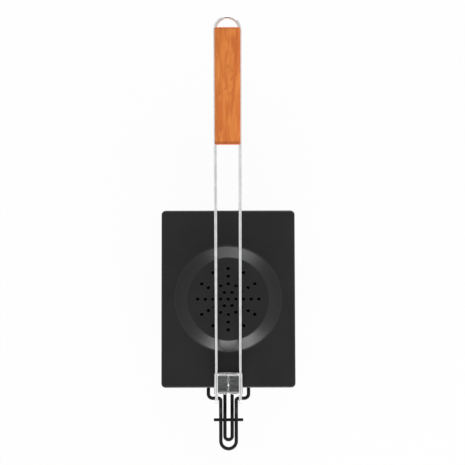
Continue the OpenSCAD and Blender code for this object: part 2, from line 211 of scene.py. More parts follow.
def curve_on(bm: bmesh.types.BMesh, vert: bmesh.types.BMVert, centre: Vector, angle: float,
             steps: int) -> bmesh.types.BMVert:
    """Draws an arc on from a vertex, turning from +Z towards +X about a point, and returns its end."""
    made = bmesh.ops.spin(bm, geom=[vert], cent=centre, axis=Y_AXIS, dvec=Vector(), angle=angle,
                          steps=steps, use_merge=False, use_duplicate=False)
    return verts_of(made["geom_last"])[0]


def bent_line(bm: bmesh.types.BMesh, points: Sequence[Vector], radii: Sequence[float],
              steps: int) -> list[bmesh.types.BMEdge]:
    """Draws a line of edges and rounds its inner corners. The mesh holds nothing else yet.

    Args:
        bm: An empty mesh.
        points: Points of the line.
        radii: Bend radius at each inner point.
        steps: Edges in each bend.

    Returns:
        All edges of the line.
    """
    verts = [bm.verts.new(point) for point in points]
    for pair in zip(verts, verts[1:]):
        bm.edges.new(pair)
    for vert, radius, before, here, after in zip(verts[1:-1], radii, points, points[1:], points[2:]):
        turn = (here - before).angle(after - here)
        bmesh.ops.bevel(bm, geom=[vert], offset=radius * math.tan(turn / 2), offset_type="OFFSET",
                        segments=steps, profile=0.5, affect="VERTICES", material=-1)
    return list(bm.edges)


def round_end(bm: bmesh.types.BMesh, edges: Sequence[bmesh.types.BMEdge], size: float) -> None:
    """Closes a wire's open ring with a face and rounds that face's edge, as a tumbled cut is."""
    bmesh.ops.edgeloop_fill(bm, edges=edges)
    bmesh.ops.bevel(bm, geom=list(edges), offset=size, offset_type="OFFSET", segments=3, profile=0.5,
                    affect="EDGES", material=-1)


def sweep_wire(bm: bmesh.types.BMesh, points: Sequence[Vector], bends: Sequence[float], diameter: float,
               sides: int = 20) -> None:
    """Draws a round wire as one skin, straight runs extruded and bends spun, with rounded ends.

    Args:
        bm: The mesh that it is drawn in.
        points: Corners of the wire's centre line.
        bends: Bend radius at each inner corner.
        diameter: Diameter of the wire.
        sides: Number of sides of its section.
    """
    here = points[0]
    first = tip = ring(bm, here, points[1] - here, diameter / 2, sides)
    for before, corner, after, radius in zip(points, points[1:], points[2:], bends):
        into, out = (corner - before).normalized(), (after - corner).normalized()
        turn = into.angle(out)
        target = corner - into * radius * math.tan(turn / 2)
        if (target - here).length > 0.02:
            tip = pull(bm, tip, target - here)
        centre = corner + (out - into).normalized() * radius / math.cos(turn / 2)
        steps = max(3, round(turn / math.radians(9)))
        tip = swing(bm, tip, centre, into.cross(out), turn, steps)
        here = corner + out * radius * math.tan(turn / 2)
    tip = pull(bm, tip, points[-1] - here)
    for end in (first, tip):
        round_end(bm, end, 0.22 * diameter)


def mirrored_run(half: Sequence[tuple[float, float, float]]) -> list[Vector]:
    """A run of points and then its mirror image in X, backwards, which makes a loop of wire."""
    return [Vector(p) for p in half] + [Vector((-x, y, z)) for x, y, z in reversed(half)]


def weld_bead(bm: bmesh.types.BMesh, centre: Vector, size: Vector) -> None:
    """Adds a small flattened nugget of weld metal, with the given lengths along X, Y and Z."""
    place = Matrix.Translation(centre) @ Matrix.Diagonal((*(size / 2), 1))
    bmesh.ops.create_icosphere(bm, subdivisions=2, radius=1, matrix=place)


def rounded_rectangle(bm: bmesh.types.BMesh, half: tuple[float, float], corner_r: float, z: float,
                      steps: int) -> bmesh.types.BMFace:
    """Draws one flat face with rounded corners and returns it."""
    place = Matrix.Translation((0, 0, z)) @ Matrix.Diagonal((half[0], half[1], 1, 1))
    verts = bmesh.ops.create_grid(bm, x_segments=1, y_segments=1, size=1, matrix=place)["verts"]
    bmesh.ops.bevel(bm, geom=verts, offset=corner_r, offset_type="OFFSET", segments=steps, profile=0.5,
                    affect="VERTICES", material=-1)
    return max(bm.faces, key=lambda face: face.calc_area() if abs(face.calc_center_median().z - z) < 0.001 else 0)


def inset(bm: bmesh.types.BMesh, face: bmesh.types.BMFace, thickness: float,
          depth: float = 0.0) -> tuple[list[bmesh.types.BMEdge], list[bmesh.types.BMEdge]]:
    """Insets a lone face and returns the outer and the inner edges of the strip that this makes."""
    strip = bmesh.ops.inset_region(bm, faces=[face], thickness=thickness, depth=depth, use_boundary=True,
                                   use_even_offset=True)
    outer = [edge for quad in strip["faces"] for edge in quad.edges if len(edge.link_faces) == 1]
    return outer, list(face.edges)


def ease(share: float) -> float:
    """A smooth step from 0 to 1 as the share goes from 0 to 1."""
    share = max(0.0, min(1.0, share))
    return share * share * (3 - 2 * share)


def clean(bm: bmesh.types.BMesh) -> None:
    """Merges doubles and turns all faces the same way, outwards."""
    bmesh.ops.remove_doubles(bm, verts=bm.verts, dist=0.002)
    bmesh.ops.recalc_face_normals(bm, faces=bm.faces)


def look_up(bm: bmesh.types.BMesh, z: float) -> None:
    """Turns an open sheet's faces so that the flat ones at height z look up."""
    flat = [face for face in bm.faces if abs(face.calc_center_median().z - z) < 0.01]
    if sum(face.normal.z * face.calc_area() for face in flat) < 0:
        bmesh.ops.reverse_faces(bm, faces=bm.faces)


def finished(bm: bmesh.types.BMesh, name: str, body: Body, material: bpy.types.Material,
             replaced: Sequence[str] = ()) -> bpy.types.Object:
    """Makes a mesh in millimetres into a piece that rides on its body.

    Args:
        bm: The finished mesh, which is freed.
        name: Name of the piece.
        body: Body that it rides on.
        material: Its material.
        replaced: CAD nodes that it stands for.

    Returns:
        The piece.
    """
    bmesh.ops.scale(bm, verts=bm.verts, vec=Vector((MM, MM, MM)))
    mesh = bpy.data.meshes.new(name)
    bm.to_mesh(mesh)
    bm.free()
    mesh.polygons.foreach_set("use_smooth", [True] * len(mesh.polygons))
    mesh.materials.append(material)
    piece = bpy.data.objects.new(name, mesh)
    bpy.context.scene.collection.objects.link(piece)
    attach(piece, body.value)
    if replaced:
        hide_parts(*replaced)
    LOG.info("%s: %d faces, on %s", name, len(mesh.polygons), body.value)
    return piece


def add_thickness(piece: bpy.types.Object, thickness: float, inward: bool = True) -> None:
    """Gives an open sheet its thickness, away from its faces or towards them."""
    solidify = piece.modifiers.new("Sheet", "SOLIDIFY")
    solidify.thickness = thickness * MM
    solidify.offset = -1 if inward else 1
    solidify.use_even_offset = True


def ease_edges(piece: bpy.types.Object, width: float, segments: int = 2, angle: float = 50) -> None:
    """Rounds a piece's sharp edges and keeps its flats flat to the eye."""
    bevel = piece.modifiers.new("Edges", "BEVEL")
    bevel.width = width * MM
    bevel.segments = segments
    bevel.limit_method = "ANGLE"
    bevel.angle_limit = math.radians(angle)
    bevel.use_clamp_overlap = True
    piece.modifiers.new("Flats", "WEIGHTED_NORMAL").keep_sharp = False


# Finishes


def linear(code: str) -> tuple[float, float, float, float]:
    """Turns an sRGB hex colour into the linear colour that the shaders take."""
    values = (int(code[i:i + 2], 16) / 255 for i in (1, 3, 5))
    return (*(v / 12.92 if v <= 0.04045 else ((v + 0.055) / 1.055) ** 2.4 for v in values), 1.0)


def add_node(tree: bpy.types.NodeTree, kind: str, inputs: dict[str | int, Any] | None = None,
             **settings: Any) -> bpy.types.Node:
    """Adds a node with its settings and its inputs.

    Args:
        tree: Node tree to add to.
        kind: The node's type name.
        inputs: Value, or the output to link, for each input socket by name or number.
        settings: The node's own properties.

    Returns:
        The node.
    """
    node = tree.nodes.new(kind)
    for name, value in settings.items():
        setattr(node, name, value)
    for key, value in (inputs or {}).items():
        if isinstance(value, bpy.types.NodeSocket):
            tree.links.new(value, node.inputs[key])
        else:
            node.inputs[key].default_value = value
    return node


@dataclass(frozen=True)
class Finish:
    """A surface finish: its name, the shader's own constants, and what the nodes add."""

    name: str
    base: str
    roughness: float
    metallic: float = 0.0
    ior: float = 1.5

    def start(self) -> tuple[bpy.types.Material, bpy.types.NodeTree, bpy.types.Node]:
        """Makes the material with its main shader's constants set on the shader's sockets."""
        material = bpy.data.materials.new(self.name)
        material.use_nodes = True
        tree = material.node_tree
        shader = tree.nodes["Principled BSDF"]
        shader.inputs["Base Color"].default_value = linear(self.base)
        shader.inputs["Roughness"].default_value = self.roughness
        shader.inputs["Metallic"].default_value = self.metallic
        if not self.metallic:
            shader.inputs["IOR"].default_value = self.ior
        return material, tree, shader

    def grain(self, tree: bpy.types.NodeTree, size_mm: tuple[float, float, float], detail: float = 3,
              turn: float = 0.0, distortion: float = 0.0) -> bpy.types.NodeSocket:
        """Noise whose blobs are about the given lengths in millimetres along X, Y and Z.

        Args:
            tree: Node tree to add to.
            size_mm: Length of a blob along each axis.
            detail: Octaves of finer noise.
            turn: Turn of the pattern about X, in radians.
            distortion: How far the noise is pulled about.

        Returns:
            The noise's value.
        """
        coords = add_node(tree, "ShaderNodeTexCoord")
        turned = add_node(tree, "ShaderNodeMapping", {"Vector": coords.outputs["Object"],
                                                      "Rotation": (turn, 0, 0)})
        scaled = add_node(tree, "ShaderNodeMapping", {"Vector": turned.outputs["Vector"],
                                                      "Scale": tuple(1 / (MM * s) for s in size_mm)})
        noise = add_node(tree, "ShaderNodeTexNoise", {"Vector": scaled.outputs["Vector"], "Scale": 1.0,
                                                      "Detail": detail, "Distortion": distortion})
        return noise.outputs["Fac"]

    def spread(self, tree: bpy.types.NodeTree, value: bpy.types.NodeSocket, low: float, high: float,
               start: float = 0.3, end: float = 0.7) -> bpy.types.NodeSocket:
        """Maps a value from start and end to low and high, smoothly and clamped."""
        ranged = add_node(tree, "ShaderNodeMapRange", {"Value": value, "From Min": start, "From Max": end,
                                                       "To Min": low, "To Max": high},
                          interpolation_type="SMOOTHSTEP")
        return ranged.outputs["Result"]

    def blend(self, tree: bpy.types.NodeTree, factor: bpy.types.NodeSocket, low: Any,
              high: Any) -> bpy.types.NodeSocket:
        """Mixes two colours by a factor; each is a linear colour or an output."""
        mixed = add_node(tree, "ShaderNodeMix", {0: factor, 6: low, 7: high}, data_type="RGBA")
        return mixed.outputs[2]

    def relief(self, tree: bpy.types.NodeTree, shader: bpy.types.Node, height: bpy.types.NodeSocket,
               depth_mm: float) -> None:
        """Lets a height pattern stand out of the surface by a depth in millimetres."""
        bump = add_node(tree, "ShaderNodeBump", {"Height": height, "Strength": 1.0,
                                                 "Distance": depth_mm * MM})
        tree.links.new(bump.outputs["Normal"], shader.inputs["Normal"])


@dataclass(frozen=True)
class NonstickCoat(Finish):
    """Non-stick coating on pressed steel, sprayed and baked.

    Spraying leaves a fine orange peel, so reflections are soft and a little broken, and its black is a
    very dark grey. The coating's own IOR is low, so it shines less than paint.
    """

    speckle: str = "#1f1f20"
    peel_mm: float = 1.1

    def build(self) -> bpy.types.Material:
        """Makes the material."""
        material, tree, shader = self.start()
        # Orange peel of a sprayed coat has waves of 0.5 to 2 mm
        peel = self.grain(tree, (self.peel_mm,) * 3, detail=2)
        # The coat's mineral filler is finer than a pixel; it is drawn at 0.5 mm so that it shows at all
        filler = self.grain(tree, (0.5,) * 3, detail=1)
        cloud = self.grain(tree, (34, 34, 34), detail=2)
        tint = self.blend(tree, self.spread(tree, filler, 0, 1, 0.45, 0.75), linear(self.base),
                          linear(self.speckle))
        tree.links.new(tint, shader.inputs["Base Color"])
        rough = self.spread(tree, cloud, self.roughness - 0.03, self.roughness + 0.04)
        tree.links.new(rough, shader.inputs["Roughness"])
        self.relief(tree, shader, peel, 0.012)
        return material


@dataclass(frozen=True)
class WireEnamel(Finish):
    """Black enamel on bent wire, dipped and baked: satin, with soft sags along the wire."""

    worn: str = "#272828"

    def build(self) -> bpy.types.Material:
        """Makes the material."""
        material, tree, shader = self.start()
        sag = self.grain(tree, (2.2, 2.2, 2.2), detail=2)
        tint = self.blend(tree, self.spread(tree, sag, 0, 1, 0.5, 0.8), linear(self.base), linear(self.worn))
        tree.links.new(tint, shader.inputs["Base Color"])
        tree.links.new(self.spread(tree, sag, self.roughness - 0.05, self.roughness + 0.08),
                       shader.inputs["Roughness"])
        self.relief(tree, shader, sag, 0.02)
        return material


@dataclass(frozen=True)
class PlatedSteel(Finish):
    """Plated steel: drawn wire under bright chrome, or rolled sheet and small parts under zinc.

    The plate follows the steel, so drawing or rolling marks show in it as faint streaks.
    """

    shade: str = "#c9cbce"
    streak_mm: tuple[float, float, float] = (0.3, 9.0, 0.3)
    swing_rough: float = 0.04
    depth_mm: float = 0.002
    turn: float = 0.0

    def build(self) -> bpy.types.Material:
        """Makes the material."""
        material, tree, shader = self.start()
        streak = self.grain(tree, self.streak_mm, detail=2, turn=self.turn)
        cloud = self.grain(tree, (7, 7, 7), detail=2)
        tint = self.blend(tree, self.spread(tree, cloud, 0, 1), linear(self.base), linear(self.shade))
        tree.links.new(tint, shader.inputs["Base Color"])
        rough = self.spread(tree, streak, self.roughness - self.swing_rough, self.roughness + self.swing_rough)
        tree.links.new(rough, shader.inputs["Roughness"])
        self.relief(tree, shader, streak, self.depth_mm)
        return material


@dataclass(frozen=True)
class OiledHardwood(Finish):
    """A red-brown hardwood, planed, rounded and oiled.

    Lengthwise grain in soft bands, with short dark pores that slant across them, and end grain that
    drinks the oil and looks darker.
    """

    dark: str = "#d06a28"
    light: str = "#f99a4a"
    pore: str = "#b85b24"
    soaked: str = "#a34a1c"
    turn: float = 0.0
    ends_mm: tuple[float, float] = (0.0, 100.0)

    def build(self) -> bpy.types.Material:
        """Makes the material."""
        material, tree, shader = self.start()
        # Growth rings cut lengthwise: soft bands 3 to 7 mm wide that run on for some 40 mm
        bands = self.grain(tree, (5.5, 38, 5.5), detail=2, turn=self.turn, distortion=0.8)
        fine = self.grain(tree, (1.1, 18, 1.1), detail=2, turn=self.turn)
        patches = self.grain(tree, (16, 30, 16), detail=0, turn=self.turn)
        # Pores are 0.1 to 0.3 mm wide; they are drawn 1.1 mm wide, so that they show
        coords = add_node(tree, "ShaderNodeTexCoord")
        level = add_node(tree, "ShaderNodeMapping", {"Vector": coords.outputs["Object"],
                                                     "Rotation": (self.turn, 0, 0)})
        slant = add_node(tree, "ShaderNodeMapping", {"Vector": level.outputs["Vector"],
                                                     "Rotation": (0, 0, math.radians(14))})
        narrow = add_node(tree, "ShaderNodeMapping", {"Vector": slant.outputs["Vector"],
                                                      "Scale": (1 / (1.1 * MM), 1 / (7.5 * MM), 1 / (2 * MM))})
        pores = add_node(tree, "ShaderNodeTexNoise", {"Vector": narrow.outputs["Vector"], "Scale": 1.0,
                                                      "Detail": 1.0})
        side = add_node(tree, "ShaderNodeSeparateXYZ", {0: coords.outputs["Object"]})
        # Painted light: the grip's colour is painted lighter at -X and darker at +X, a gradient that stands in for
        # how the light falls across it
        drift = self.spread(tree, side.outputs["X"], 0.22, 0.12, -0.013, 0.013)
        # The painted light gradient is added to the grain bands before they pick the wood's colour
        shade = add_node(tree, "ShaderNodeMath", {0: drift, 1: self.spread(tree, bands, 0.0, 0.55, 0.35, 0.65)},
                         operation="ADD")
        bands_and_painted_light = self.blend(tree, shade.outputs[0], linear(self.dark), linear(self.light))
        streaked = self.blend(tree, self.spread(tree, fine, 0.0, 0.3, 0.42, 0.68), bands_and_painted_light, linear(self.dark))
        flecks = add_node(tree, "ShaderNodeMath", {0: self.spread(tree, pores.outputs["Fac"], 0.0, 0.6, 0.58, 0.7),
                                                   1: self.spread(tree, patches, 0.15, 1.0, 0.45, 0.6)},
                          operation="MULTIPLY")
        pored = self.blend(tree, flecks.outputs[0], streaked, linear(self.pore))
        # Oil soaks into the end grain and leaves the last millimetres redder and darker
        run = add_node(tree, "ShaderNodeSeparateXYZ", {0: level.outputs["Vector"]}).outputs["Y"]
        first, last = (MM * end for end in self.ends_mm)
        soaked = add_node(tree, "ShaderNodeMath", {0: self.spread(tree, run, 0.75, 0.0, first, first + 4 * MM),
                                                   1: self.spread(tree, run, 0.0, 0.5, last - 3 * MM, last)},
                          operation="MAXIMUM")
        ended = self.blend(tree, soaked.outputs[0], pored, linear(self.soaked))
        tree.links.new(ended, shader.inputs["Base Color"])
        tree.links.new(self.spread(tree, fine, self.roughness - 0.05, self.roughness + 0.08),
                       shader.inputs["Roughness"])
        self.relief(tree, shader, pores.outputs["Fac"], -0.012)
        return material


@dataclass(frozen=True)
class Finishes:
    """Every material of the popper, built once."""

    coat: bpy.types.Material
    enamel: bpy.types.Material
    chrome: bpy.types.Material
    sleeve: bpy.types.Material
    zinc: bpy.types.Material
    wood: bpy.types.Material


def make_finishes(layout: Layout, grip: "Handle") -> Finishes:
    """Builds the materials; the handle's patterns are turned to lie along the folded handle."""
    along = -layout.handle_tilt
    start = (Matrix.Rotation(along, 3, "X") @ layout.pivot).y + grip.grip_at
    return Finishes(
        coat=NonstickCoat("Sprayed non-stick coat", "#161617", roughness=0.4, ior=1.38).build(),
        enamel=WireEnamel("Black wire enamel", "#191a1a", roughness=0.65, ior=1.22).build(),
        chrome=PlatedSteel("Bright chrome on drawn wire", "#e4e5e5", roughness=0.1, metallic=1.0,
                           shade="#d7d8d8", turn=along).build(),
        sleeve=PlatedSteel("Zinc plate on rolled sheet", "#dcdddd", roughness=0.165, metallic=1.0,
                           shade="#cfd0d0", streak_mm=(6.0, 0.35, 0.35), swing_rough=0.04, depth_mm=0.0008,
                           turn=along).build(),
        zinc=PlatedSteel("Zinc plate on turned steel", "#c4c6c4", roughness=0.3, metallic=1.0,
                         shade="#aeb0ad", streak_mm=(0.4, 0.4, 0.4), depth_mm=0.004).build(),
        wood=OiledHardwood("Oiled hardwood", "#e88034", roughness=0.46, ior=1.47, turn=along,
                            ends_mm=(start, start + grip.grip_l)).build(),
    )


# The pan


@dataclass(frozen=True)
class Pan:
    """The pressed pan: flange with a turned-down lip, sloped walls, and a floor with a bent edge."""

    layout: Layout
    rim_half: tuple[float, float] = (75.7, 100.7)
    rim_r: float = 3.2
    lip_h: float = 4.0
    lip_bend_r: float = 1.5
    floor_bend_r: float = 4.0
    flange_bend_r: float = 2.0
    edge_r: float = 0.3

    def build(self, finishes: Finishes) -> list[bpy.types.Object]:
        """Makes the pan's skin from its food side, with its thickness added outwards."""
        lay = self.layout
        bm = bmesh.new()
        slope = math.tan(lay.pan_draft)
        # The wall's food side meets the flange's top this far in from its outer side under the flange
        wall_r = lay.wall_corner_r - (lay.sheet_t / math.cos(lay.pan_draft) - lay.sheet_t * slope)
        half = tuple(c + wall_r for c in lay.wall_corner)
        drop = lay.pan_h - lay.sheet_t
        rim = rounded_rectangle(bm, self.rim_half, self.rim_r, lay.pan_h, 8)
        rim_edges = list(rim.edges)
        bmesh.ops.delete(bm, geom=[rim], context="FACES_ONLY")
        mouth = rounded_rectangle(bm, half, wall_r, lay.pan_h, 8)
        mouth_edges, floor_edges = inset(bm, mouth, drop * slope, -drop)
        bmesh.ops.bridge_loops(bm, edges=rim_edges + mouth_edges)
        pull(bm, rim_edges, Vector((0, 0, -self.lip_h)))
        self._bend(bm, floor_edges, self.floor_bend_r, 6, QUARTER - lay.pan_draft)
        self._bend(bm, mouth_edges, self.flange_bend_r, 4, QUARTER - lay.pan_draft)
        self._bend(bm, rim_edges, self.lip_bend_r, 4, QUARTER)
        clean(bm)
        look_up(bm, lay.pan_h)
        piece = finished(bm, "pan_shell", Body.PAN, finishes.coat, ["pan"])
        add_thickness(piece, lay.sheet_t)
        ease_edges(piece, self.edge_r)
        return [piece]

    def _bend(self, bm: bmesh.types.BMesh, edges: list[bmesh.types.BMEdge], radius: float, steps: int,
              turn: float) -> None:
        """Rounds a fold of the sheet to a bend radius, where the sheet turns by an angle."""
        bmesh.ops.bevel(bm, geom=edges, offset=radius * math.tan(turn / 2), offset_type="OFFSET",
                        segments=steps, profile=0.5, affect="EDGES", material=-1)


# The lid


@dataclass(frozen=True)
class Lid:
    """The pressed lid: flat top, skirt, and a round dome with four rings of vents round a middle one."""

    layout: Layout
    corner_r: float = 5.0
    edge_r: float = 2.0
    dome_d: float = 122.2
    plateau_d: float = 94.5
    dome_h: float = 11.0
    brow_bend_r: float = 3.0
    foot_bend_r: float = 5.0
    vent_d: float = 4.0
    vent_pitch: float = 8.75
    vent_counts: tuple[int, ...] = (1, 6, 12, 12, 12)
    vent_collar: float = 0.5
    round_steps: int = 144
    cut_edge_r: float = 0.2

    def build(self, finishes: Finishes) -> list[bpy.types.Object]:
        """Makes the lid's skin from its outside, with its thickness added inwards."""
        bm = bmesh.new()
        plateau_ring, foot_ring = self._dome(bm)
        self._plateau(bm, plateau_ring)
        self._top_and_skirt(bm, foot_ring)
        clean(bm)
        look_up(bm, self.layout.lid_top)
        piece = finished(bm, "lid_shell", Body.LID, finishes.coat, ["lid"])
        add_thickness(piece, self.layout.sheet_t)
        ease_edges(piece, self.cut_edge_r)
        return [piece, self._knuckles(finishes)]

    def _dome(self, bm: bmesh.types.BMesh) -> tuple[list[bmesh.types.BMEdge], list[bmesh.types.BMEdge]]:
        """Spins the dome's sloped ring and returns its inner and outer rings of edges."""
        top = self.layout.lid_top
        points = [Vector((self.plateau_d / 2 - 4, 0, top + self.dome_h)),
                  Vector((self.plateau_d / 2, 0, top + self.dome_h)),
                  Vector((self.dome_d / 2, 0, top)),
                  Vector((self.dome_d / 2 + 5, 0, top))]
        edges = bent_line(bm, points, (self.brow_bend_r, self.foot_bend_r), 6)
        bmesh.ops.spin(bm, geom=[*edges, *verts_on(edges)], cent=Vector(), axis=Z_AXIS, dvec=Vector(),
                       angle=FULL, steps=self.round_steps, use_merge=True, use_duplicate=False)
        bmesh.ops.remove_doubles(bm, verts=bm.verts, dist=0.002)
        open_edges = [edge for edge in bm.edges if len(edge.link_faces) == 1]
        middle = self.dome_d / 2
        inner = [edge for edge in open_edges if edge.verts[0].co.xy.length < middle]
        outer = [edge for edge in open_edges if edge.verts[0].co.xy.length > middle]
        return inner, outer

    def _plateau(self, bm: bmesh.types.BMesh, border: list[bmesh.types.BMEdge]) -> None:
        """Draws rings inwards from the flat top's border, and opens a vent in each cell between them."""
        level = Vector((0, 0, self.layout.lid_top + self.dome_h))
        edges, here = border, verts_on(border)[0].co.xy.length
        for row in reversed(range(len(self.vent_counts))):
            target = (row + 0.5) * self.vent_pitch
            edges = pull(bm, edges, Vector())
            bmesh.ops.scale(bm, verts=verts_on(edges), vec=Vector((target / here, target / here, 1)))
            here = target
        middle = bmesh.ops.edgeloop_fill(bm, edges=edges)["faces"][0]
        self._open_vent(bm, middle, level)
        for row, count in enumerate(self.vent_counts[1:], start=1):
            for step in range(count):
                way = Matrix.Rotation(FULL * step / count, 3, "Z") @ X_AXIS
                cell = [face for face in bm.faces if self._in_cell(face, way, row, count)]
                merged = bmesh.ops.dissolve_faces(bm, faces=cell, use_verts=False)["region"][0]
                self._open_vent(bm, merged, level + way * row * self.vent_pitch)

    def _in_cell(self, face: bmesh.types.BMFace, way: Vector, row: int, count: int) -> bool:
        """Whether a face lies in the cell of a vent: its part of the ring between two rows."""
        centre = face.calc_center_median()
        if centre.z < self.layout.lid_top + self.dome_h - 0.01:
            return False
        flat = Vector((centre.x, centre.y, 0))
        in_row = abs(flat.length - row * self.vent_pitch) < 0.45 * self.vent_pitch
        return in_row and flat.angle(way) < HALF / count

    def _open_vent(self, bm: bmesh.types.BMesh, face: bmesh.types.BMFace, centre: Vector) -> None:
        """Punches a round vent in a flat cell, with a collar of faces round it."""
        for radius in (self.vent_d / 2 + self.vent_collar, self.vent_d / 2):
            bmesh.ops.inset_region(bm, faces=[face], thickness=0.05, use_boundary=True, use_even_offset=True)
            verts = [loop.vert for loop in face.loops]
            spots = [vert.co - centre for vert in verts]
            angles = [math.atan2(spot.y, spot.x) for spot in spots]
            pitch = math.copysign(FULL / len(verts), face.normal.z)
            # The turn that leaves an even ring of points nearest to where they are
            drift = [math.remainder(angle - angles[0] - pitch * k, FULL) for k, angle in enumerate(angles)]
            start = angles[0] + sum(drift) / len(drift)
            for k, vert in enumerate(verts):
                angle = start + pitch * k
                vert.co = centre + Vector((math.cos(angle), math.sin(angle), 0)) * radius
        bmesh.ops.delete(bm, geom=[face], context="FACES_ONLY")

    def _top_and_skirt(self, bm: bmesh.types.BMesh, border: list[bmesh.types.BMEdge]) -> None:
        """Fills the flat top round the dome, and folds the skirt down at its edge."""
        lay = self.layout
        top = rounded_rectangle(bm, (lay.lid_w / 2, lay.lid_l / 2), self.corner_r, lay.lid_top, 8)
        fold, inner = inset(bm, top, 3.6)
        bmesh.ops.delete(bm, geom=[top], context="FACES_ONLY")
        bmesh.ops.triangle_fill(bm, edges=border + inner, use_beauty=True, use_dissolve=False, normal=Z_AXIS)
        pull(bm, fold, Vector((0, 0, -lay.skirt_h)))
        bmesh.ops.bevel(bm, geom=fold, offset=self.edge_r, offset_type="OFFSET", segments=5, profile=0.5,
                        affect="EDGES", material=-1)

    def _knuckles(self, finishes: Finishes) -> bpy.types.Object:
        """Makes the two tabs of the skirt that are rolled round the hinge pins."""
        lay = self.layout
        bm = bmesh.new()
        pin = Vector((0, lay.hinge_y, lay.hinge_z))
        for side in (-1, 1):
            start = Vector((side * lay.hinge_x - lay.finger_w / 2, lay.lid_l / 2, lay.skirt_low + 1.5))
            edge = bm.edges.new((bm.verts.new(start), bm.verts.new(start + X_AXIS * lay.finger_w)))
            tip = pull(bm, [edge], Vector((0, 0, lay.hinge_z - start.z)))
            swing(bm, tip, pin, X_AXIS, -math.radians(318), 26)
        clean(bm)
        outward = [face for face in bm.faces if abs(face.calc_center_median().y - lay.lid_l / 2) < 0.01]
        if outward[0].normal.y < 0:
            bmesh.ops.reverse_faces(bm, faces=bm.faces)
        piece = finished(bm, "lid_hinge_knuckles", Body.LID, finishes.coat)
        add_thickness(piece, lay.leaf_t)
        ease_edges(piece, 0.15)
        return piece


# The hinges


